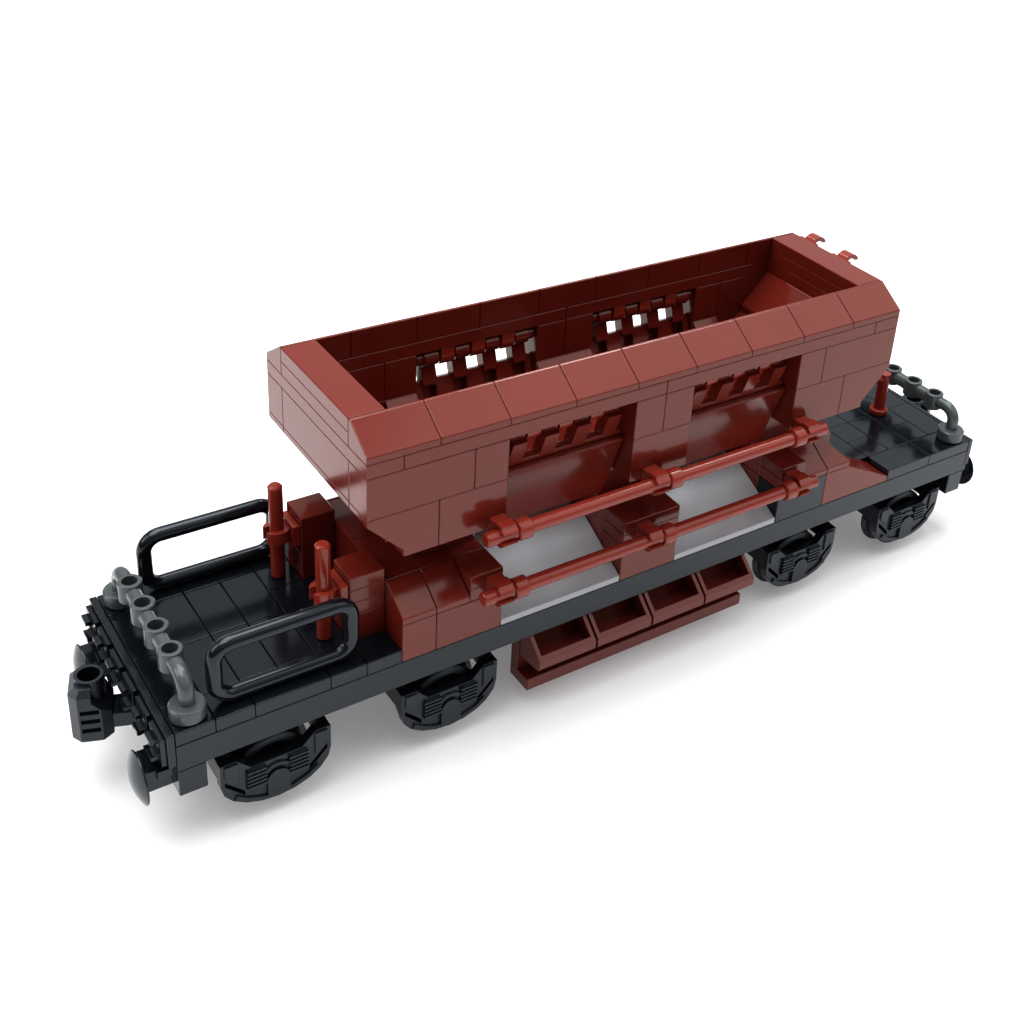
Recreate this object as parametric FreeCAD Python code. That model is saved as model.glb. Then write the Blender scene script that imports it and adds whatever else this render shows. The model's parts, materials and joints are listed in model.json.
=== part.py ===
import FreeCAD, Part
import math
import os

# Self-discharging hopper wagon built from interlocking plastic bricks, on a long black flat base.
# Frame: X along the wagon, Y across it, Z up, origin on the ground under the middle. Millimetres.
# Places along and across the wagon are counted in studs from the middle, heights in millimetres.

# ---- driving dimensions: the brick system ----
PITCH = 8.0            # one stud
PLATE = 3.2            # height of a plate
BRICK = 3 * PLATE      # height of a brick
CHEESE = 2 * PLATE     # height of a two-thirds slope
ROD_R = 1.6            # radius of a round bar
SEAM = 0.05            # half of the gap between neighbouring bricks
EDGE = 0.15            # broken edge of a moulded brick
LIP = 1.6              # upright lip at the foot of a slope
RUN = 0.05             # radial running clearance of a turning pin
REST = 0.3             # gap between faces of different moving bodies

# ---- driving dimensions: heights above the ground ----
FLANGE_R = 9.6                         # wheel flange, which stands on the ground
DECK = 30.4                            # top of the deck tiles
BASE_TOP = DECK - PLATE
BASE_BOTTOM = BASE_TOP - CHEESE
SIDE_TOP = BASE_TOP + BRICK            # top of the first course on the base
CORE_TOP = SIDE_TOP + CHEESE
FLOOR_BOTTOM = DECK + 22.4             # underside of the hopper
ROW_A = FLOOR_BOTTOM + PLATE           # first brick course of the hopper
ROW_B = ROW_A + BRICK                  # second brick course
PLATE_ROW = ROW_B + BRICK
RIM = PLATE_ROW + PLATE
RIM_TOP = RIM + CHEESE

# ---- driving dimensions: lengths in studs from the middle ----
BASE_END = 14.0        # half length of the base
HALF_WIDTH = 3.0       # half width of base and hopper
INNER = 2.0            # inner face of the side courses
HOPPER_END = 9.0       # half length of the hopper
DOOR_IN = 1.0          # door openings run from here
DOOR_OUT = 5.0         # to here
BOGIE_AT = 9.0         # bogie pivots
AXLE_AT = 2.5          # axles each side of a bogie pivot

# ---- driving dimensions: running gear, millimetres ----
TREAD_R = 8.4
TREAD_IN = 17.0
TREAD_OUT = 21.2
FLANGE_IN = 15.6
AXLE_HALF = 22.0
SIDE_IN = 21.5         # inner face of the axle guards
SIDE_OUT = 23.6
RELIEF = 0.7           # how far springs and axle boxes stand out of the guards
GUARD_HALF = 11.8      # half length of an axle guard
PIVOT_R = 2.4

# ---- driving dimensions: doors, rods and couplers, millimetres ----
HINGE_Y = 18.4         # hinge line of the doors from the middle
HINGE_Z = ROW_B + 7.2
DOOR_LEAN = 19.0       # degrees the doors lean in at rest; the sizes below are those of an upright door
PANEL_FACE = 23.5
PANEL_BACK = 22.0
CARRIER_BACK = 20.0
CARRIER_TOP = ROW_B + 1.6
CARRIER_LOW = ROW_A - 1.0
PANEL_TOP = ROW_B + 0.3
PANEL_BOTTOM = DECK + 16.6
ROD_Y = 28.0           # line of the locking rods from the middle
ROD_END = 47.6         # half length of the rods
ROD_UPPER = DECK + 24.8
ROD_LOWER = DECK + 9.6
BUFFER_Y = 18.0
BUFFER_R = 5.6
COUPLER_X = 109.2      # coupler pivots
COUPLER_SWING = 20.0   # degrees the couplers stand aside at rest
COUPLER_REACH = 11.4   # pivot to the middle of the head


def vec(x, y, z):
    return FreeCAD.Vector(x, y, z)


def box(x0, x1, y0, y1, z0, z1):
    return Part.makeBox(x1 - x0, y1 - y0, z1 - z0, vec(x0, y0, z0))


def rod(radius, start, end):
    along = end.sub(start)
    return Part.makeCylinder(radius, along.Length, start, along)


def soften(shape, size=EDGE):
    """Break every edge of a moulded piece."""
    return shape.makeChamfer(size, shape.Edges)


def block(u0, u1, v0, v1, z0, z1):
    """A brick, plate or tile that fills whole or half studs, with seams round it."""
    return soften(box(u0 * PITCH + SEAM, u1 * PITCH - SEAM, v0 * PITCH + SEAM, v1 * PITCH - SEAM, z0, z1))


def prism_x(profile, x0, x1):
    """Extrude an outline of (y, z) points along the wagon."""
    points = [vec(x0, y, z) for y, z in profile]
    return Part.Face(Part.makePolygon(points + points[:1])).extrude(vec(x1 - x0, 0, 0))


def prism_y(profile, y0, y1):
    """Extrude an outline of (x, z) points across the wagon."""
    points = [vec(x, y0, z) for x, z in profile]
    return Part.Face(Part.makePolygon(points + points[:1])).extrude(vec(0, y1 - y0, 0))


def other_side(shapes):
    return [shape.mirror(vec(0, 0, 0), vec(0, 1, 0)) for shape in shapes]


def other_end(shapes):
    return [shape.mirror(vec(0, 0, 0), vec(1, 0, 0)) for shape in shapes]


def both_sides(shapes):
    return shapes + other_side(shapes)


def both_ends(shapes):
    return shapes + other_end(shapes)


def moved(shapes, x=0.0, y=0.0, z=0.0):
    return [shape.translated(vec(x, y, z)) for shape in shapes]


def save(name, shapes):
    Part.makeCompound(shapes).exportStep("parts/" + name + ".step")


# ---------------------------------------------------------------- base and deck

def base_frame():
    """Long black base: a slab with a ribbed, hollow underside and two pivot holes."""
    skin = 1.6
    roof = BASE_BOTTOM + 4.0
    half = HALF_WIDTH * PITCH
    long = BASE_END * PITCH
    slab = soften(box(-long, long, -half, half, BASE_BOTTOM, BASE_TOP))
    for low, high in ((-12.6, -10.4), (-7.6, -5.0), (-4.6, -0.4), (0.4, 4.6), (5.0, 7.6), (10.4, 12.6)):
        for side in (-1, 1):
            inner, outer = sorted((side * skin, side * (2 * PITCH - skin)))
            slab = slab.cut(box(low * PITCH, high * PITCH, inner, outer, BASE_BOTTOM - 1, roof))
    for end in (-1, 1):
        pivot = vec(end * BOGIE_AT * PITCH, 0, BASE_BOTTOM - 1)
        coupler = vec(end * COUPLER_X, 0, BASE_BOTTOM - 1)
        slab = slab.cut(rod(PIVOT_R, pivot, pivot.add(vec(0, 0, CHEESE + 2))))
        slab = slab.cut(rod(PIVOT_R + RUN, coupler, coupler.add(vec(0, 0, PLATE + 1))))
    return [slab]


def tile_rows(columns, edge_tiles):
    """Tiles one stud long over the middle of the deck and longer tiles along both edges."""
    tiles = []
    for u, splits in columns:
        for v0, v1 in zip(splits, splits[1:]):
            tiles.append(block(u, u + 1, v0, v1, BASE_TOP, DECK))
    for u0, u1 in edge_tiles:
        tiles += both_sides([block(u0, u1, -HALF_WIDTH, -INNER, BASE_TOP, DECK)])
    return tiles


def deck_tiles():
    """Smooth decks at both ends of the wagon."""
    halves = (-2, 0, 2)
    thirds = (-2, -1, 1, 2)
    quarters = (-2, -1, 0, 1, 2)
    left = [(-14, halves), (-13, halves), (-12, halves), (-11, halves), (-10, thirds), (-9, (-1, 1))]
    right = [(8, quarters), (9, halves), (10, quarters), (11, halves), (12, quarters), (13, halves)]
    left_edge = [(-14, -13), (-13, -12), (-12, -10), (-10, -9), (-9, -8)]
    return tile_rows(left, left_edge) + tile_rows(right, [(10, 12), (12, 14)])


def end_plates():
    """Bracket plates that close both ends of the deck."""
    inner = BASE_END * PITCH
    half = HALF_WIDTH * PITCH
    return both_ends([soften(box(-inner - LIP, -inner - SEAM, -half, half, DECK - 8.0, DECK))])


def end_clip(y):
    """Small clip piece on an end plate: a foot and two claws round the place of a bar."""
    face = -BASE_END * PITCH - LIP - SEAM
    top = DECK - 1.2
    middle = top - PLATE
    centre = face - 1.9
    foot = box(face - 1.0, face, y - 3.2, y + 3.2, top - CHEESE, top)
    outside = rod(2.6, vec(centre, y - 1.5, middle), vec(centre, y + 1.5, middle))
    hole = rod(ROD_R, vec(centre, y - 2, middle), vec(centre, y + 2, middle))
    mouth = box(centre - 4, centre - 0.6, y - 4, y + 4, middle - 4, middle + 4)
    behind = box(face, face + 2, y - 4, y + 4, middle - 4, middle + 4)
    return foot.fuse(outside).cut(mouth).cut(hole).cut(behind).removeSplitter()


def end_clips():
    clips = []
    for v in (-2.5, -1.5, -0.5, 0.5, 1.5, 2.5):
        clips.append(end_clip(v * PITCH))
    return both_ends(clips)


# ---------------------------------------------------------------- ends of the wagon

def buffer_beam():
    """Beam under the left end, moulded in one with its two buffers."""
    outer = -BASE_END * PITCH
    inner = outer + 5.6
    half = HALF_WIDTH * PITCH
    bottom = BASE_BOTTOM - CHEESE
    gap_half = 9.0
    beam = soften(box(outer, inner, -half, half, bottom, BASE_BOTTOM))
    beam = beam.cut(box(outer - 1, inner + 1, -gap_half, gap_half, bottom - 1, BASE_BOTTOM - LIP))
    pin = vec(-COUPLER_X, 0, BASE_BOTTOM - 2 * LIP)
    beam = beam.cut(rod(PIVOT_R + RUN, pin, pin.add(vec(0, 0, 2 * CHEESE))))
    for side in (-1, 1):
        beam = beam.fuse(buffer(outer, side * BUFFER_Y))
    return [beam.removeSplitter()]


def buffer(face, y):
    """Square stock, flat back and domed head."""
    stock_length = 5.6
    back_length = 0.3
    dome = 1.6
    axis_z = 17.2
    stock = box(face - stock_length, face + 1, y - 3.4, y + 3.4, axis_z - 1.2, axis_z + 3.6)
    ledge = box(face - 3.4, face + 1, y - 4.2, y + 4.2, axis_z + 1.6, axis_z + 3.6)
    rim = face - stock_length - back_length
    back = rod(BUFFER_R, vec(face - stock_length, y, axis_z), vec(rim, y, axis_z))
    sphere_r = (BUFFER_R ** 2 + dome ** 2) / (2 * dome)
    ball = Part.makeSphere(sphere_r, vec(rim - dome + sphere_r, y, axis_z))
    cap = ball.common(rod(BUFFER_R, vec(rim, y, axis_z), vec(rim - dome - 1, y, axis_z)))
    return stock.fuse([ledge, back, cap])


def coupler():
    """Left coupler: pin, drawbar and a faceted head with a socket in its top."""
    pivot = vec(-COUPLER_X, 0, 0)
    arm_top = BASE_BOTTOM - LIP - REST
    arm_bottom = arm_top - 3.4
    pin = rod(PIVOT_R, vec(-COUPLER_X, 0, arm_top - 1), vec(-COUPLER_X, 0, BASE_BOTTOM + PLATE - REST))
    knuckle = rod(3.6, vec(-COUPLER_X, 0, arm_bottom), vec(-COUPLER_X, 0, arm_top))
    arm = box(-COUPLER_X - COUPLER_REACH, -COUPLER_X, -3.0, 3.0, arm_bottom, arm_top)
    head = coupler_head(-COUPLER_X - COUPLER_REACH)
    whole = head.fuse([arm, knuckle, pin]).removeSplitter()
    whole.rotate(pivot, vec(0, 0, 1), -COUPLER_SWING)
    return [whole]


def coupler_head(x):
    """Head of a coupler round its middle at x: eight sides, ribs on its face, a vertical socket."""
    half_length = 4.0
    half_width = 5.0
    cut = 1.8
    bottom = 13.0
    top = 26.8
    corner = half_length - cut
    shoulder = half_width - cut
    plan = [(-corner, -half_width), (corner, -half_width), (half_length, -shoulder), (half_length, shoulder),
            (corner, half_width), (-corner, half_width), (-half_length, shoulder), (-half_length, -shoulder)]
    points = [vec(x + a, b, bottom) for a, b in plan]
    head = Part.Face(Part.makePolygon(points + points[:1])).extrude(vec(0, 0, top - bottom))
    level = [edge for edge in head.Edges if abs(edge.Vertexes[0].Z - edge.Vertexes[-1].Z) < 0.01]
    head = head.makeChamfer(1.3, level)
    for groove in (16.6, 18.9, 21.2):
        front = box(x - half_length - 1, x - half_length + 0.7, -2.4, 2.4, groove, groove + 1.1)
        side = box(x - 1.8, x + 1.8, -half_width - 1, -half_width + 0.7, groove, groove + 1.1)
        head = head.cut([front, side])
    shed = [(x + 0.5, top + 1), (x + 0.5, 24.0), (x + half_length + 1, 19.4), (x + half_length + 1, top + 1)]
    head = head.cut(prism_y(shed, -half_width - 1, half_width + 1))
    collar = rod(2.9, vec(x, 0, 20.0), vec(x, 0, top + 0.8))
    lip = rod(2.9, vec(x - 0.1, 0, top - 2.2), vec(x - 0.1, 0, top - 0.4))
    socket = rod(2.2, vec(x, 0, top - 6.0), vec(x, 0, top + 2))
    return head.fuse([collar, lip]).cut(socket)


def handrail():
    """Grey end rail at the left: a bar on two round feet with four open cups on it."""
    x = -13.5 * PITCH
    foot_y = 20.0
    foot_height = 3.2
    bar_z = DECK + 8.6
    bend = 3.4
    turn = bend * (1 - math.sin(math.pi / 4))
    start = vec(x, foot_y, DECK + 1.0)
    knee = vec(x, foot_y, bar_z - bend)
    crown = vec(x, foot_y - bend, bar_z)
    path = Part.Wire([Part.makeLine(start, knee),
                      Part.Arc(knee, vec(x, foot_y - turn, bar_z - turn), crown).toShape(),
                      Part.makeLine(crown, vec(x, 0, bar_z))])
    ring = Part.Wire([Part.makeCircle(ROD_R, start, vec(0, 0, 1))])
    arch = path.makePipeShell([ring], True, False)
    foot = soften(rod(3.6, vec(x, foot_y, DECK), vec(x, foot_y, DECK + foot_height)), 0.35)
    half = arch.fuse(foot)
    web = soften(box(x - ROD_R, x + ROD_R, -14.0, 14.0, DECK + 6.6, DECK + 9.4), 0.8)
    whole = half.fuse([half.mirror(vec(0, 0, 0), vec(0, 1, 0)), web])
    places = [v * PITCH for v in (-1.5, -0.5, 0.5, 1.5)]
    cups = [soften(rod(2.5, vec(x, y, DECK + 6.0), vec(x, y, DECK + 10.6)), 0.2) for y in places]
    bores = [rod(ROD_R, vec(x, y, DECK + 7.4), vec(x, y, DECK + 12)) for y in places]
    return [whole.fuse(cups).cut(bores).removeSplitter()]


def hoop_near():
    """Black guard hoop that stands on the left platform."""
    left = -13 * PITCH + ROD_R
    right = -9 * PITCH - ROD_R
    low = DECK + ROD_R
    high = DECK + 15.6 - ROD_R
    bend = 3.6
    y = -20.0
    turn = bend * (1 - math.sin(math.pi / 4))
    corners = [(left, low, 1, 1), (right, low, -1, 1), (right, high, -1, -1), (left, high, 1, -1)]
    arcs = []
    for x, z, a, b in corners:
        ends = [vec(x, y, z + b * bend), vec(x + a * bend, y, z)]
        if a * b < 0:
            ends.reverse()
        arcs.append((ends[0], vec(x + a * turn, y, z + b * turn), ends[1]))
    edges = []
    for index, (start, middle, end) in enumerate(arcs):
        edges.append(Part.Arc(start, middle, end).toShape())
        edges.append(Part.makeLine(end, arcs[(index + 1) % len(arcs)][0]))
    start = arcs[0][0]
    ring = Part.Wire([Part.makeCircle(ROD_R, start, vec(0, 0, 1))])
    return [Part.Wire(Part.__sortEdges__(edges)).makePipeShell([ring], True, False)]


# ---------------------------------------------------------------- lower body

def columns():
    """Red columns behind the left platform, four courses each."""
    levels = (BASE_TOP, SIDE_TOP, SIDE_TOP + PLATE, SIDE_TOP + 2 * PLATE, SIDE_TOP + 3 * PLATE)
    stack = []
    for low, high in zip(levels, levels[1:]):
        stack.append(block(-9, -8, -2, -1, low, high))
    return both_sides(stack)


def bar_clip():
    """Clip that holds an upright bar in front of a column."""
    face = -9 * PITCH - SEAM
    bar_x = -9.5 * PITCH
    y = -1.5 * PITCH
    low = DECK + 10.0
    high = DECK + 13.0
    foot = box(face - LIP, face, y - 3.4, y + 3.4, low - 1.0, high + 1.0)
    claw = rod(2.9, vec(bar_x, y, low), vec(bar_x, y, high))
    arm = box(bar_x, face - 1, y - 1.6, y + 1.6, low, high)
    hole = rod(ROD_R + SEAM / 2, vec(bar_x, y, low - 1), vec(bar_x, y, high + 1))
    mouth = box(bar_x - 4, bar_x - 1.0, y - 1.1, y + 1.1, low - 1, high + 1)
    return foot.fuse([claw, arm]).cut(hole).cut(mouth).removeSplitter()


def bar_clips():
    return both_sides([bar_clip()])


def upright_bars():
    bar = rod(ROD_R, vec(-9.5 * PITCH, -1.5 * PITCH, DECK), vec(-9.5 * PITCH, -1.5 * PITCH, DECK + 3 * PITCH))
    return both_sides([soften(bar, 0.4)])


def brake_bar():
    """Red upright bar with a round foot and a slanting handle, on the right platform."""
    x = 12.5 * PITCH
    y = 0.0
    foot = soften(rod(2.6, vec(x, y, DECK), vec(x, y, DECK + LIP)), 0.25)
    bar = rod(ROD_R, vec(x, y, DECK), vec(x, y, DECK + 12.8))
    handle = rod(1.1, vec(x, y, DECK + 10.6), vec(x - 9.0, y + 1.0, DECK + 13.6))
    return [foot.fuse([bar, handle]).removeSplitter()]


def support_core():
    """Inner bricks that carry the hopper: a tower at each end and one in the middle."""
    tower = [block(-8, -5, -2, 0, BASE_TOP, SIDE_TOP), block(-8, -5, -2, 0, SIDE_TOP, CORE_TOP),
             block(-7, -5, -1.5, 0, CORE_TOP, FLOOR_BOTTOM)]
    middle = [block(-1, 1, -2, 0, BASE_TOP, CORE_TOP), block(-1, 1, -1.5, 0, CORE_TOP, FLOOR_BOTTOM)]
    return both_sides(both_ends(tower) + middle)


def side_walls():
    """Red bricks along the edge of the base."""
    bricks = [block(-8, -7, -3, -2, BASE_TOP, SIDE_TOP), block(-7, -5, -3, -2, BASE_TOP, SIDE_TOP),
              block(-1, 1, -3, -2, BASE_TOP, SIDE_TOP)]
    return both_sides(bricks)


def side_bricks_black():
    return both_sides([block(5, 7, -3, -2, BASE_TOP, SIDE_TOP)])


def foot_slopes():
    """Red slopes that run down towards the right platform."""
    low, crest, high = 10 * PITCH - SEAM, 8 * PITCH, 7 * PITCH + SEAM
    profile = [(high, BASE_TOP), (low, BASE_TOP), (low, BASE_TOP + LIP), (crest, SIDE_TOP), (high, SIDE_TOP)]
    return both_sides([soften(prism_y(profile, -3 * PITCH + SEAM, -2 * PITCH - SEAM))])


def cheese_profile(base):
    """Outline of a two-thirds slope whose lip faces the near side."""
    outer = -HALF_WIDTH * PITCH + SEAM
    inner = -INNER * PITCH - SEAM
    top = base + CHEESE
    return [(outer, base), (inner, base), (inner, top), (inner - 0.6, top), (outer, base + LIP)]


def cheese(u0, u1, base):
    return soften(prism_x(cheese_profile(base), u0 * PITCH + SEAM, u1 * PITCH - SEAM))


def corner_cheese():
    """Right-hand slope of the side row, which also falls away towards its free end."""
    low, high = 7 * PITCH + SEAM, 8 * PITCH - SEAM
    piece = prism_x(cheese_profile(SIDE_TOP), low, high)
    fall = 4.6
    above = CORE_TOP + 0.1
    foot = SIDE_TOP + LIP
    trim = [(high + 1, foot), (high, foot), (high - fall, above), (high + 1, above)]
    return soften(piece.cut(prism_y(trim, -3 * PITCH - 1, -2 * PITCH + 1)), 0.15)


def side_slopes():
    """Low slopes above the side bricks, left and right of the chutes."""
    row = [cheese(-8, -7, SIDE_TOP), cheese(-7, -6, SIDE_TOP), cheese(6, 7, SIDE_TOP), corner_cheese()]
    return both_sides(row)


def rod_blocks():
    """Pairs of plates that carry the lower rods."""
    plates = []
    for u0, u1 in ((-6, -5), (-1, 1), (5, 6)):
        plates.append(block(u0, u1, -3, -2, SIDE_TOP, SIDE_TOP + PLATE))
        plates.append(block(u0, u1, -3, -2, SIDE_TOP + PLATE, CORE_TOP))
    return both_sides(plates)


def chutes():
    """Grey slopes under the doors, which throw the load clear of the wagon."""
    outer = -3 * PITCH + SEAM
    crest = -1 * PITCH
    foot = BASE_TOP + LIP
    profile = [(outer, BASE_TOP), (-SEAM, BASE_TOP), (-SEAM, SIDE_TOP), (crest, SIDE_TOP), (outer, foot)]
    chute = soften(prism_x(profile, -DOOR_OUT * PITCH + SEAM, -DOOR_IN * PITCH - SEAM))
    return both_sides(both_ends([chute]))


# ---------------------------------------------------------------- locking rods

def rod_bars():
    """Round bars through the clips, on both sides and at two heights; they meet in the middle collars."""
    bars = []
    for z in (ROD_UPPER, ROD_LOWER):
        left = rod(ROD_R, vec(-ROD_END, -ROD_Y, z), vec(-SEAM, -ROD_Y, z))
        bars += both_ends([left])
    return both_sides([soften(bar, 0.25) for bar in bars])


def rod_clip(x, z):
    """Open clip on a block: it holds a rod at ROD_Y and stands on the face of the wagon's side."""
    half = 1.8
    wall = -HALF_WIDTH * PITCH
    jaws = rod(2.5, vec(x - half, -ROD_Y, z), vec(x + half, -ROD_Y, z))
    block_up = box(x - half, x + half, -ROD_Y + 0.6, wall, z - 2.2, z + 2.2)
    crest = box(x - half, x + half, -ROD_Y - 1.2, -ROD_Y + 1.4, z + 1.4, z + 2.7)
    mouth = box(x - 3, x + 3, -ROD_Y - 4, -ROD_Y, z - 1.0, z + 1.2)
    bore = rod(ROD_R, vec(x - 3, -ROD_Y, z), vec(x + 3, -ROD_Y, z))
    return jaws.fuse([block_up, crest]).cut([mouth, bore]).removeSplitter()


def rod_collar(x0, x1, z):
    """Short sleeve on a rod, next to a clip."""
    sleeve = soften(rod(2.35, vec(x0, -ROD_Y, z), vec(x1, -ROD_Y, z)), 0.3)
    return sleeve.cut(rod(ROD_R, vec(x0 - 1, -ROD_Y, z), vec(x1 + 1, -ROD_Y, z)))


def rod_connectors():
    """Clips and collars of all the rods."""
    pieces = []
    for z in (ROD_UPPER, ROD_LOWER):
        pieces += both_ends([rod_clip(-ROD_END + 5.0, z), rod_collar(-ROD_END + 7.4, -ROD_END + 10.8, z)])
        pieces += [rod_clip(-3.0, z), rod_collar(-0.6, 2.8, z)]
    return both_sides(pieces)


# ---------------------------------------------------------------- hopper

def hopper_floor():
    """Plates under the hopper, open where the doors let the load out, and the ridge between the doors."""
    plates = []
    for u0, u1 in ((-8, -5), (-1, 1), (5, 8)):
        plates.append(block(u0, u1, -INNER, INNER, FLOOR_BOTTOM, ROW_A))
    for u0, u1 in ((-5, -1), (1, 5)):
        plates.append(block(u0, u1, -1, 1, FLOOR_BOTTOM, ROW_A))
        foot = ROW_A + LIP
        ridge = [(-PITCH, ROW_A), (PITCH, ROW_A), (PITCH, foot), (0.8, ROW_B), (-0.8, ROW_B), (-PITCH, foot)]
        plates.append(soften(prism_x(ridge, u0 * PITCH + SEAM, u1 * PITCH - SEAM)))
    return plates


def hopper_wall_near():
    """Near wall: two courses of bricks round the door openings, with a lip along the foot."""
    y0, y1 = -3 * PITCH + SEAM, -2 * PITCH - SEAM
    low = ROW_A - LIP
    outer, foot, inner = 9 * PITCH - SEAM, 8 * PITCH - SEAM, 7 * PITCH + SEAM
    slant = [(-outer, ROW_B), (-outer, ROW_B - LIP), (-foot, ROW_A)]
    corner = soften(prism_y(slant + [(-foot, low), (-inner, low), (-inner, ROW_B)], y0, y1))
    course_a = [block(-7, -5, -3, -2, low, ROW_B)]
    course_b = [block(-9, -6, -3, -2, ROW_B, PLATE_ROW), block(-6, -5, -3, -2, ROW_B, PLATE_ROW),
                block(-1, 0, -3, -2, ROW_B, PLATE_ROW)]
    return both_ends([corner] + course_a + course_b) + [block(-1, 1, -3, -2, low, ROW_B)]


def hopper_end_left():
    """Left end wall: inverted slopes below, slopes with an upright back above."""
    half = INNER * PITCH - SEAM
    back, crest, foot = -9 * PITCH + SEAM, -8 * PITCH, -7 * PITCH - SEAM
    lower = [(back, ROW_B), (back, ROW_B - LIP), (back + PITCH, ROW_A), (foot, ROW_A), (foot, ROW_B)]
    upper = [(back, ROW_B), (foot, ROW_B), (foot, ROW_B + LIP), (crest, PLATE_ROW), (back, PLATE_ROW)]
    return [soften(prism_y(profile, -half, half)) for profile in (lower, upper)]


def inner_slopes():
    """Slopes inside the hopper at the foot of its ends and of its posts."""
    ends = []
    for v0, v1 in ((-2, 0), (0, 2)):
        top, foot = -7 * PITCH + SEAM, -6 * PITCH - SEAM
        profile = [(top, ROW_A), (foot, ROW_A), (foot, ROW_A + LIP), (top, ROW_B)]
        ends.append(soften(prism_y(profile, v0 * PITCH + SEAM, v1 * PITCH - SEAM)))
    posts = []
    back, foot = -2 * PITCH + SEAM, -1 * PITCH - SEAM
    profile = [(back, ROW_A), (foot, ROW_A), (foot, ROW_A + LIP), (back, ROW_B)]
    for u0, u1 in ((-6, -5), (-1, 1), (5, 6)):
        posts.append(soften(prism_x(profile, u0 * PITCH + SEAM, u1 * PITCH - SEAM)))
    return both_ends(ends) + both_sides(posts)


def hopper_plates():
    """Plates above the brick courses: long ones along the sides, one across each end."""
    sides = both_sides(both_ends([block(-8, 0, -3, -2, PLATE_ROW, RIM)]))
    ends = both_ends([block(-9, -8, -3, 3, PLATE_ROW, RIM)])
    return sides + ends


def rim_slopes_near():
    """Row of slopes, two studs long, along the near rim."""
    return [cheese(u, u + 2, RIM) for u in range(-9, 9, 2)]


def rim_ends():
    """Plate and tile across each end of the rim."""
    plates = [block(-9, -8, -2, 2, RIM, RIM + PLATE)]
    tiles = [block(-9, -8, -2, 2, RIM + PLATE, RIM_TOP)]
    return both_ends(plates + tiles)


def far_end_clips():
    """Two clip pieces on the outside of the right end's rim, on the far half."""
    clips = []
    face = HOPPER_END * PITCH
    middle = RIM + 4.2
    centre = face + 3.4
    for y in (-0.6, 11.6):
        foot = box(face, face + LIP, y - 3.2, y + 3.2, middle - 5.0, middle + 1.6)
        claw = rod(2.7, vec(centre, y - 1.6, middle), vec(centre, y + 1.6, middle))
        hole = rod(ROD_R, vec(centre, y - 2, middle), vec(centre, y + 2, middle))
        mouth = box(centre + 0.6, centre + 4, y - 2, y + 2, middle - 4, middle + 0.9)
        behind = box(face - 3, face, y - 4, y + 4, middle - 6, middle + 4)
        clips.append(foot.fuse(claw).cut([hole, mouth, behind]).removeSplitter())
    return clips


# ---------------------------------------------------------------- doors

DOOR_POSTS = (-4.5, -3.5, -2.5, -1.5)
DOOR_CLIPS = (-4.0, -3.0, -2.0)


def hinge_clips():
    """Clips that hang from the plate row and hold the hinge bars of the doors."""
    half = 1.7
    clips = []
    for u in DOOR_CLIPS:
        x = u * PITCH
        hanger = box(x - half, x + half, -HINGE_Y - 2.2, -HINGE_Y + 2.2, HINGE_Z, PLATE_ROW)
        eye = rod(2.3, vec(x - half, -HINGE_Y, HINGE_Z), vec(x + half, -HINGE_Y, HINGE_Z))
        hole = rod(ROD_R + RUN, vec(x - 3, -HINGE_Y, HINGE_Z), vec(x + 3, -HINGE_Y, HINGE_Z))
        mouth = box(x - 3, x + 3, -HINGE_Y - 1.1, -HINGE_Y + 1.1, HINGE_Z - 4, HINGE_Z)
        clips.append(hanger.fuse(eye).cut(hole).cut(mouth).removeSplitter())
    return both_sides(both_ends(clips))


def leaned(shape):
    """Turn an upright near door in about its hinge."""
    shape.rotate(vec(0, -HINGE_Y, HINGE_Z), vec(1, 0, 0), DOOR_LEAN)
    return shape


def door_panel():
    """Smooth outer leaf of the near left door."""
    x0, x1 = -DOOR_OUT * PITCH + REST, -DOOR_IN * PITCH - REST
    panel = box(x0, x1, -PANEL_FACE, -PANEL_BACK, PANEL_BOTTOM, PANEL_TOP)
    return [leaned(soften(panel, 0.3))]


def door_carrier():
    """Back of the near left door: a plate with four square pockets, four posts and the hinge bar."""
    x0, x1 = -DOOR_OUT * PITCH + REST, -DOOR_IN * PITCH - REST
    plate = soften(box(x0, x1, -PANEL_BACK, -CARRIER_BACK, CARRIER_LOW, CARRIER_TOP), 0.2)
    pieces = [rod(ROD_R, vec(x0 + 0.2, -HINGE_Y, HINGE_Z), vec(x1 - 0.2, -HINGE_Y, HINGE_Z))]
    half = 1.8
    post_back = 19.0
    for u in DOOR_POSTS:
        x = u * PITCH
        pieces.append(box(x - half, x + half, -PANEL_BACK, -post_back, CARRIER_TOP - 1, HINGE_Z))
        pieces.append(rod(2.15, vec(x - half, -HINGE_Y, HINGE_Z), vec(x + half, -HINGE_Y, HINGE_Z)))
    carrier = plate.fuse(pieces)
    hole_half = 1.8
    hole_low = CARRIER_TOP - 4.9
    for u in DOOR_POSTS:
        x = u * PITCH
        pocket = box(x - hole_half, x + hole_half, -PANEL_BACK, 0, hole_low, hole_low + 3.3)
        carrier = carrier.cut(pocket)
    return [leaned(carrier.removeSplitter())]


# ---------------------------------------------------------------- troughs under the base

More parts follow.
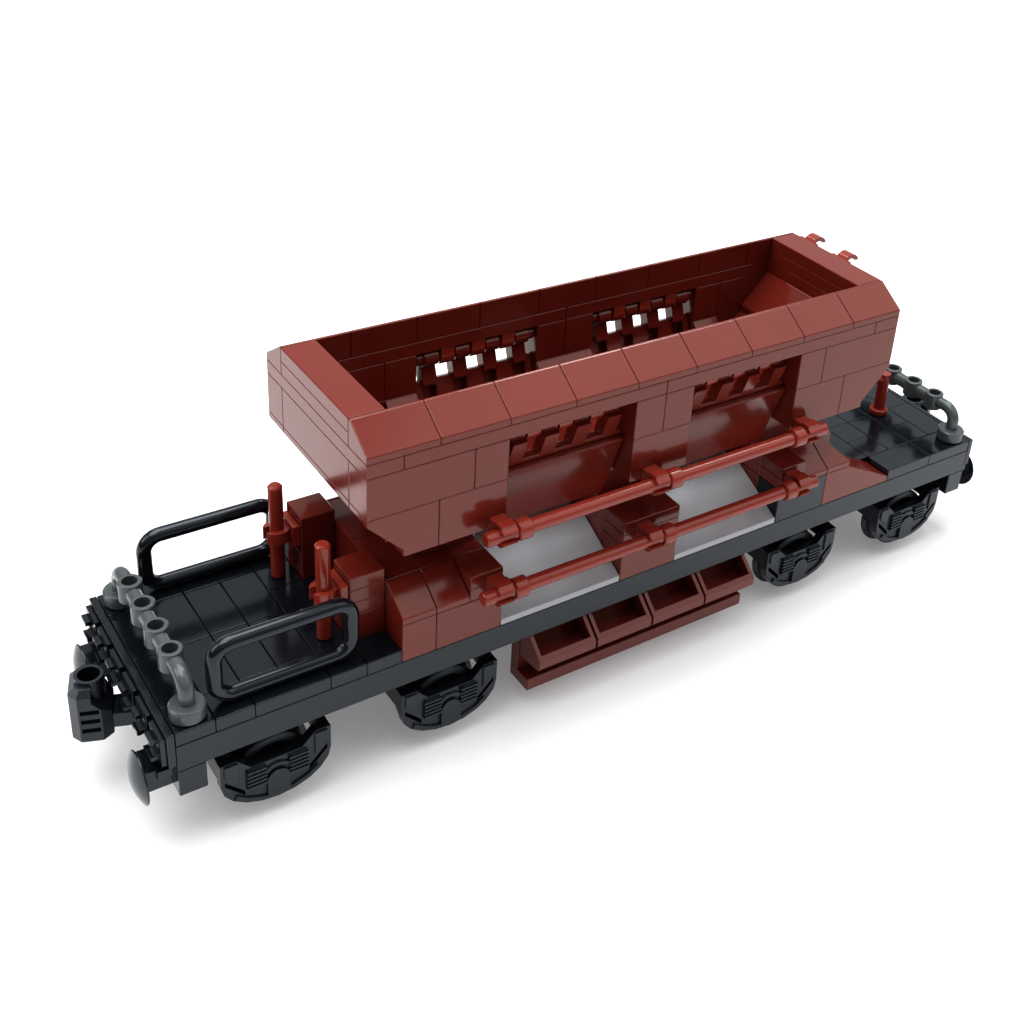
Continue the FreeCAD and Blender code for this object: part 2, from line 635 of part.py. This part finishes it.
def trough(u0, u1):
    """Open bin under the edge of the base: sloping floor, low outer wall and two cheeks."""
    x0, x1 = u0 * PITCH + 0.3, u1 * PITCH - 0.3
    wall = 1.0
    outer, inner = -28.0, -19.6
    low, rim = 13.3, 16.1
    body = [(outer + 0.5, low), (outer, low + 0.6), (outer, rim), (inner, BASE_BOTTOM + 2.6), (inner, 12.4)]
    hollow = [(outer + wall, low + 1.2), (outer + wall, rim + 4), (inner - wall, BASE_BOTTOM + 5),
              (inner - wall, low + 0.8)]
    shape = prism_x(body, x0, x1).cut(prism_x(hollow, x0 + wall, x1 - wall))
    under_base = box(x0 - 1, x1 + 1, -HALF_WIDTH * PITCH - 0.1, 0, BASE_BOTTOM, BASE_BOTTOM + 9)
    bead = rod(0.7, vec(x0, outer + 0.7, rim - 0.3), vec(x1, outer + 0.7, rim - 0.3))
    return shape.cut(under_base).fuse(bead).removeSplitter()


def troughs():
    return both_sides([trough(u, u + 2) for u in (-4, -2, 0, 2)])


def trough_beams():
    """Red beam behind each row of bins and the plate that closes it below."""
    slab_low, slab_high = 4.9, 8.1
    half = 4 * PITCH
    back = -16.6
    beam = soften(box(-half, half, -19.5, back, slab_high, BASE_BOTTOM))
    slab = soften(box(-half, half, -24.0, back, slab_low, slab_high))
    return both_sides([beam.fuse(slab).removeSplitter()])


# ---------------------------------------------------------------- running gear

def bogie_pins():
    """Pivot pins, pressed into the base, that the bogies turn on."""
    pins = []
    head_low = 16.6
    for end in (-1, 1):
        x = end * BOGIE_AT * PITCH
        shank = rod(PIVOT_R, vec(x, 0, head_low), vec(x, 0, BASE_TOP))
        head = rod(3.6, vec(x, 0, head_low - 1.4), vec(x, 0, head_low + 0.4))
        pins.append(shank.fuse(head).removeSplitter())
    return pins


def bogie_frame():
    """Bogie plate at the origin, with stretchers fore and aft of each axle."""
    top = BASE_BOTTOM - REST
    low = top - PLATE
    axle = AXLE_AT * PITCH
    plate = soften(box(-axle - GUARD_HALF, axle + GUARD_HALF, -13.2, 13.2, low, top))
    bars = []
    for x in (-axle - GUARD_HALF, -axle + 10.2, axle - GUARD_HALF, axle + 10.2):
        bars.append(box(x, x + GUARD_HALF - 10.2, -SIDE_IN, SIDE_IN, 12.6, low + 0.2))
    whole = plate.fuse(bars)
    whole = whole.cut(rod(PIVOT_R + RUN, vec(0, 0, low - 1), vec(0, 0, top + 1)))
    return [whole.removeSplitter()]


def axle_guard():
    """Near axle guard round an axle at the origin: plate, springs, arch and axle box."""
    face = -SIDE_OUT - RELIEF
    angles = [math.radians(a) for a in (90, 72, 54, 36, 18, 0, -18, -36, -54, -72, -90)]
    sole = [(GUARD_HALF * math.sin(a), 11.8 - 7.8 * math.cos(a)) for a in angles]
    top = [(-GUARD_HALF, 17.4), (-8.4, 17.4), (-5.4, 14.4), (5.4, 14.4), (8.4, 17.4), (GUARD_HALF, 17.4)]
    outline = sole + top
    guard = prism_y(outline, -SIDE_OUT, -SIDE_IN)
    details = []
    for side in (-1, 1):
        slot = [(side * 7.0, 7.6), (side * 7.0, 8.8), (side * 11.0, 12.9), (side * 11.0, 11.7)]
        guard = guard.cut(prism_y(slot, -SIDE_OUT - 1, -SIDE_IN + 1))
        x = side * 4.5
        details.append(box(x - 1.7, x + 1.7, face + 0.4, -SIDE_OUT + 0.2, 8.9, 13.9))
        for coil in range(5):
            z = 9.1 + 0.98 * coil
            details.append(box(x - 2.1, x + 2.1, face, -SIDE_OUT + 0.2, z, z + 0.5))
        arm = [(side * 8.2, 11.4), (side * 8.2, 16.9), (side * 11.0, 16.9), (side * 11.0, 14.0)]
        details.append(prism_y(arm, -SIDE_OUT - 0.4, -SIDE_OUT + 0.2))
    hub_z = 9.2
    hub = rod(2.4, vec(0, face, hub_z), vec(0, -SIDE_OUT + 0.2, hub_z))
    tongue = box(-2.4, 2.4, face, -SIDE_OUT + 0.2, 5.2, hub_z)
    arch = rod(4.0, vec(0, face + 0.3, hub_z), vec(0, -SIDE_OUT + 0.2, hub_z))
    arch = arch.cut(rod(3.1, vec(0, face - 1, hub_z), vec(0, 0, hub_z)))
    arch = arch.cut(box(-6, 6, face - 1, 0, 0, hub_z + 0.6))
    strap = [(x * 0.97, z + 0.25) for x, z in sole[2:9]]
    inside = [(x * 0.94, z + 1.0) for x, z in reversed(strap)]
    rim = prism_y(strap + inside, -SIDE_OUT - 0.4, -SIDE_OUT + 0.2)
    guard = guard.fuse(details + [hub, tongue, arch, rim])
    bore = rod(ROD_R + RUN, vec(0, -AXLE_HALF - REST, FLANGE_R), vec(0, 0, FLANGE_R))
    return guard.cut(bore).removeSplitter()


def bogie_sides():
    """The four axle guards of a bogie at the origin."""
    guard = axle_guard()
    axle = AXLE_AT * PITCH
    return both_sides(moved([guard], x=-axle) + moved([guard], x=axle))


def wheels():
    """Pair of wheels on an axle at the origin: flange inside, dished face outside."""
    rim = [(FLANGE_R, FLANGE_IN + 0.5), (FLANGE_R, FLANGE_IN + 1.0)]
    flange = [(0, FLANGE_IN), (FLANGE_R - 0.7, FLANGE_IN)] + rim
    tread = [(TREAD_R, TREAD_IN), (TREAD_R, TREAD_OUT - 0.4), (TREAD_R - 0.4, TREAD_OUT)]
    dish, boss = TREAD_OUT - 1.1, TREAD_OUT - 0.2
    face = [(TREAD_R - 1.8, TREAD_OUT), (TREAD_R - 2.2, dish), (3.4, dish), (3.0, boss), (0, boss)]
    points = [vec(radius, y, FLANGE_R) for radius, y in flange + tread + face]
    section = Part.Face(Part.makePolygon(points + points[:1]))
    wheel = section.revolve(vec(0, 0, FLANGE_R), vec(0, 1, 0), 360)
    wheel = wheel.cut(rod(ROD_R, vec(0, FLANGE_IN - 1, FLANGE_R), vec(0, TREAD_OUT + 1, FLANGE_R)))
    hole_circle = 4.8
    for turn in range(6):
        angle = math.radians(60 * turn)
        x = hole_circle * math.cos(angle)
        z = FLANGE_R + hole_circle * math.sin(angle)
        wheel = wheel.cut(rod(0.9, vec(x, TREAD_OUT - 2.2, z), vec(x, TREAD_OUT + 1, z)))
    return both_sides([wheel])


def axle():
    shaft = rod(ROD_R, vec(0, -AXLE_HALF, FLANGE_R), vec(0, AXLE_HALF, FLANGE_R))
    return [soften(shaft, 0.25)]


# ---------------------------------------------------------------- every sub-part

def main():
    os.makedirs("parts", exist_ok=True)
    for make in (base_frame, deck_tiles, end_plates, end_clips, hoop_near, columns, bar_clips,
                 upright_bars, brake_bar, support_core, side_walls, side_bricks_black, foot_slopes,
                 side_slopes, rod_blocks, chutes, rod_bars, rod_connectors, hopper_floor,
                 hopper_wall_near, hopper_end_left, inner_slopes, hopper_plates, rim_slopes_near,
                 rim_ends, far_end_clips, hinge_clips, troughs, trough_beams, bogie_pins):
        save(make.__name__, make())
    save("hoop_far", other_side(hoop_near()))
    save("hopper_wall_far", other_side(hopper_wall_near()))
    save("hopper_end_right", other_end(hopper_end_left()))
    save("rim_slopes_far", other_side(rim_slopes_near()))
    for name, flip in (("left", list), ("right", other_end)):
        save("buffer_beam_" + name, flip(buffer_beam()))
        save("coupler_" + name, flip(coupler()))
        save("handrail_" + name, flip(handrail()))
    for side, cross in (("near", list), ("far", other_side)):
        for name, flip in (("left", list), ("right", other_end)):
            save("door_panel_" + side + "_" + name, cross(flip(door_panel())))
            save("door_carrier_" + side + "_" + name, cross(flip(door_carrier())))
    for name, end in (("left", -1), ("right", 1)):
        x = end * BOGIE_AT * PITCH
        save("bogie_frame_" + name, moved(bogie_frame(), x=x))
        save("bogie_sides_" + name, moved(bogie_sides(), x=x))
        for place, way in (("outer", end), ("inner", -end)):
            axle_x = x + way * AXLE_AT * PITCH
            save("wheels_" + name + "_" + place, moved(wheels(), x=axle_x))
            save("axle_" + name + "_" + place, moved(axle(), x=axle_x))


main()
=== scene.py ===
"""Looks of the model hopper wagon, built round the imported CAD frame. Metres, in the frame of the CAD part."""
import json

import bpy
from mathutils import Matrix, Vector

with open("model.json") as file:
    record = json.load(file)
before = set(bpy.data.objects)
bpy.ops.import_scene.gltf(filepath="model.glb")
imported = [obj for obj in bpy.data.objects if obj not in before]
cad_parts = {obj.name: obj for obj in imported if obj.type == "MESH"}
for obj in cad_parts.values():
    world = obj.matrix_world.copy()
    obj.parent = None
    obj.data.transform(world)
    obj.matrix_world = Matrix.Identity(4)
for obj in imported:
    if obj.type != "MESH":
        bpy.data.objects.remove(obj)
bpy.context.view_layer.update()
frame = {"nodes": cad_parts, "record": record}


MM = 0.001

# Camera: the picture's side, the focal length and the lens axis share one small unit
IMAGE_SIDE = 1024
FOCAL = 1356.6
AXIS_X, AXIS_Y = 613.5, 342.5
SENSOR_MM = 36.0
CAMERA_AT_MM = (-168.18, -220.90, 220.90)
CAMERA_RIGHT = (0.813561, -0.575905, 0.080322)
CAMERA_AHEAD = (0.542647, 0.702318, -0.460743)

# Stage, in metres
FLOOR_SIDE = 8.0
AIM = (0, 0, 0.04)     # middle of the wagon, which the lights face


# ---------------------------------------------------------------- camera

def add_camera():
    """Three-quarter view from above the near left end, framed high and left of the lens axis."""
    right = Vector(CAMERA_RIGHT).normalized()
    ahead = Vector(CAMERA_AHEAD).normalized()
    up = right.cross(ahead).normalized()
    right = ahead.cross(up).normalized()
    data = bpy.data.cameras.new("camera")
    data.sensor_width = SENSOR_MM
    data.lens = FOCAL / IMAGE_SIDE * SENSOR_MM
    data.shift_x = (IMAGE_SIDE / 2 - AXIS_X) / IMAGE_SIDE
    data.shift_y = (AXIS_Y - IMAGE_SIDE / 2) / IMAGE_SIDE
    data.clip_start = 0.01
    data.clip_end = 20.0
    camera = bpy.data.objects.new("camera", data)
    turn = Matrix((right, up, -ahead)).transposed().to_4x4()
    camera.matrix_world = Matrix.Translation(Vector(CAMERA_AT_MM) * MM) @ turn
    bpy.context.scene.collection.objects.link(camera)
    bpy.context.scene.camera = camera


# ---------------------------------------------------------------- materials

# Socket numbers of the colour mix node
MIX_FACTOR, MIX_A, MIX_B, MIX_RESULT = 0, 6, 7, 2


class Nodes:
    """Small helper that adds shader nodes and links them by socket name."""

    def __init__(self, name):
        self.material = bpy.data.materials.new(name)
        self.material.use_nodes = True
        self.tree = self.material.node_tree
        self.tree.nodes.clear()
        self.shader = self.add("ShaderNodeBsdfPrincipled")
        output = self.add("ShaderNodeOutputMaterial")
        self.link(self.shader, "BSDF", output, "Surface")
        self.place = self.add("ShaderNodeTexCoord")

    def add(self, kind, **values):
        node = self.tree.nodes.new(kind)
        for key, value in values.items():
            if hasattr(node, key):
                setattr(node, key, value)
            else:
                node.inputs[key.replace("_", " ")].default_value = value
        return node

    def link(self, source, out, target, into):
        self.tree.links.new(source.outputs[out], target.inputs[into])

    def noise(self, scale, detail=2.0, stretch=(1, 1, 1)):
        """Noise in object space; stretch draws it out into streaks."""
        mapping = self.add("ShaderNodeMapping", Scale=stretch)
        self.link(self.place, "Object", mapping, "Vector")
        noise = self.add("ShaderNodeTexNoise", Scale=scale, Detail=detail)
        self.link(mapping, "Vector", noise, "Vector")
        return noise

    def remap(self, source, out, low, high, new_low, new_high):
        node = self.add("ShaderNodeMapRange")
        limits = {"From Min": low, "From Max": high, "To Min": new_low, "To Max": new_high}
        for socket, value in limits.items():
            node.inputs[socket].default_value = value
        self.link(source, out, node, "Value")
        return node

    def mix(self, factor, out, first, second):
        """Colour mix: first and second are colours or (node, socket) pairs."""
        node = self.add("ShaderNodeMix", data_type="RGBA")
        self.tree.links.new(factor.outputs[out], node.inputs[MIX_FACTOR])
        for index, value in ((MIX_A, first), (MIX_B, second)):
            if isinstance(value, tuple) and not isinstance(value[0], float):
                self.tree.links.new(value[0].outputs[value[1]], node.inputs[index])
            else:
                node.inputs[index].default_value = (*value, 1.0)
        return node


def shade(colour, factor):
    return tuple(min(1.0, channel * factor) for channel in colour)


PLASTIC_IOR = 1.47
WARM = (1.0, 0.94, 0.88)     # tint of the reflections on red plastic
COOL = (0.86, 0.94, 1.0)     # and on black and grey plastic


def moulded_plastic(name, colour, gloss, grain=0.12, sheen=WARM):
    """Injection-moulded plastic: tone that drifts a little along the wagon, flow marks, fine scratches."""
    nodes = Nodes(name)
    drift = nodes.noise(22.0, 0.0)
    tone = nodes.mix(drift, "Fac", shade(colour, 0.88), shade(colour, 1.12))
    flow = nodes.noise(60.0, 3.0, (1.0, 1.0, 0.5))
    cloud = nodes.remap(flow, "Fac", 0.3, 0.7, 0.0, 0.35)
    clouded = nodes.mix(cloud, "Result", (tone, MIX_RESULT), shade(colour, 1.2))
    nodes.link(clouded, MIX_RESULT, nodes.shader, "Base Color")
    smear = nodes.noise(140.0, 4.0, (0.5, 2.0, 1.0))
    rough = nodes.remap(smear, "Fac", 0.25, 0.75, gloss * 0.8, gloss * 1.35)
    nodes.link(rough, "Result", nodes.shader, "Roughness")
    soft = nodes.add("ShaderNodeBevel", samples=4, Radius=0.22 * MM)
    waves = nodes.noise(55.0, 1.0)
    wavy = nodes.add("ShaderNodeBump", Strength=0.25, Distance=0.08 * MM)
    nodes.link(waves, "Fac", wavy, "Height")
    nodes.link(soft, "Normal", wavy, "Normal")
    scratches = nodes.noise(900.0, 2.0, (0.12, 1.0, 0.6))
    fine = nodes.add("ShaderNodeBump", Strength=grain, Distance=0.01 * MM)
    nodes.link(scratches, "Fac", fine, "Height")
    nodes.link(wavy, "Normal", fine, "Normal")
    nodes.link(fine, "Normal", nodes.shader, "Normal")
    nodes.shader.inputs["IOR"].default_value = PLASTIC_IOR
    nodes.shader.inputs["Specular Tint"].default_value = (*sheen, 1.0)
    return nodes.material


def turned_steel(name):
    """Drawn and turned steel with fine rings along the axle."""
    nodes = Nodes(name)
    rings = nodes.noise(1500.0, 2.0, (0.05, 1.0, 0.05))
    tone = nodes.mix(rings, "Fac", (0.42, 0.42, 0.43), (0.62, 0.62, 0.61))
    nodes.link(tone, MIX_RESULT, nodes.shader, "Base Color")
    rough = nodes.remap(rings, "Fac", 0.3, 0.7, 0.2, 0.38)
    nodes.link(rough, "Result", nodes.shader, "Roughness")
    bump = nodes.add("ShaderNodeBump", Strength=0.2, Distance=0.02 * MM)
    nodes.link(rings, "Fac", bump, "Height")
    nodes.link(bump, "Normal", nodes.shader, "Normal")
    nodes.shader.inputs["Metallic"].default_value = 1.0
    return nodes.material


RED = (0.125, 0.0155, 0.0095)
DEEP_RED = (0.11, 0.015, 0.011)
BLACK = (0.0045, 0.0058, 0.0085)
CHUTE_GREY = (0.335, 0.335, 0.35)
RAIL_GREY = (0.058, 0.065, 0.065)

MATERIALS = {
    "brick_red": lambda name: moulded_plastic(name, RED, 0.13),
    # painted highlight: the rods get the brick red lightened 1.6 times, standing in for the light their round
    # tops catch
    "rod_red": lambda name: moulded_plastic(name, shade(RED, 1.6), 0.14),
    "trough_red": lambda name: moulded_plastic(name, DEEP_RED, 0.2),
    "brick_black": lambda name: moulded_plastic(name, BLACK, 0.14, sheen=COOL),
    "chute_grey": lambda name: moulded_plastic(name, CHUTE_GREY, 0.2, sheen=COOL),
    "rail_grey": lambda name: moulded_plastic(name, RAIL_GREY, 0.2, sheen=COOL),
    "running_black": lambda name: moulded_plastic(name, shade(BLACK, 1.1), 0.28, grain=0.25, sheen=COOL),
    "axle_steel": turned_steel,
}


def paint_nodes():
    """Give every CAD node the material of its slot in the record."""
    made = {slot: make(slot) for slot, make in MATERIALS.items()}
    for part in frame["record"]["subparts"]:
        mesh = frame["nodes"][part["node"]].data
        for index in range(max(1, len(mesh.materials))):
            if index < len(mesh.materials):
                mesh.materials[index] = made[part["material_slot"]]
            else:
                mesh.materials.append(made[part["material_slot"]])


# ---------------------------------------------------------------- stage

def add_floor():
    """White paper that glows a little, so that the shadows under the wagon stay light."""
    bpy.ops.mesh.primitive_plane_add(size=FLOOR_SIDE, location=(0, 0, 0))
    floor = bpy.context.object
    floor.name = "floor"
    nodes = Nodes("paper")
    grain = nodes.noise(400.0, 3.0)
    tone = nodes.mix(grain, "Fac", (0.68, 0.68, 0.68), (0.72, 0.72, 0.72))
    nodes.link(tone, MIX_RESULT, nodes.shader, "Base Color")
    nodes.shader.inputs["Roughness"].default_value = 0.75
    nodes.shader.inputs["Emission Color"].default_value = (1.0, 0.985, 0.99, 1.0)
    nodes.shader.inputs["Emission Strength"].default_value = 0.17
    floor.data.materials.append(nodes.material)


def add_light(name, place, size, power):
    """Rectangular light that faces the wagon."""
    data = bpy.data.lights.new(name, "AREA")
    data.shape = "RECTANGLE"
    data.size, data.size_y = size
    data.energy = power
    light = bpy.data.objects.new(name, data)
    light.location = place
    aim = Vector(AIM) - Vector(place)
    light.rotation_euler = aim.to_track_quat("-Z", "Y").to_euler()
    bpy.context.scene.collection.objects.link(light)


def add_world():
    """White studio that is bright overhead and dimmer lower down, as a room is."""
    world = bpy.data.worlds.new("studio")
    world.use_nodes = True
    tree = world.node_tree
    background = tree.nodes["Background"]
    place = tree.nodes.new("ShaderNodeTexCoord")
    facing = tree.nodes.new("ShaderNodeVectorMath")
    facing.operation = "DOT_PRODUCT"
    facing.inputs[1].default_value = (0.4, 0.1, 0.9)
    tree.links.new(place.outputs["Generated"], facing.inputs[0])
    ramp = tree.nodes.new("ShaderNodeMapRange")
    for socket, value in (("From Min", -0.2), ("From Max", 1.0), ("To Min", 0.06), ("To Max", 0.9)):
        ramp.inputs[socket].default_value = value
    tree.links.new(facing.outputs["Value"], ramp.inputs["Value"])
    tree.links.new(ramp.outputs["Result"], background.inputs["Strength"])
    background.inputs["Color"].default_value = (0.97, 0.985, 1.0, 1.0)
    bpy.context.scene.world = world


def add_lights():
    """A big light behind, a window on the left, a strip along the rods and a dim ceiling in front."""
    add_light("overhead", (-0.15, 0.15, 1.1), (1.2, 0.9), 15.5)
    add_light("left_window", (-0.8, 0.25, 0.55), (0.5, 0.5), 2.4)
    add_light("strip", (0.62, 0.24, 1.0), (0.5, 0.16), 3.4)
    add_light("ceiling", (0.65, -0.48, 0.9), (0.9, 0.9), 2.2)
    settings = bpy.context.scene.view_settings
    settings.view_transform = "Standard"
    settings.look = "Medium High Contrast"


add_camera()
paint_nodes()
add_floor()
add_world()
add_lights()
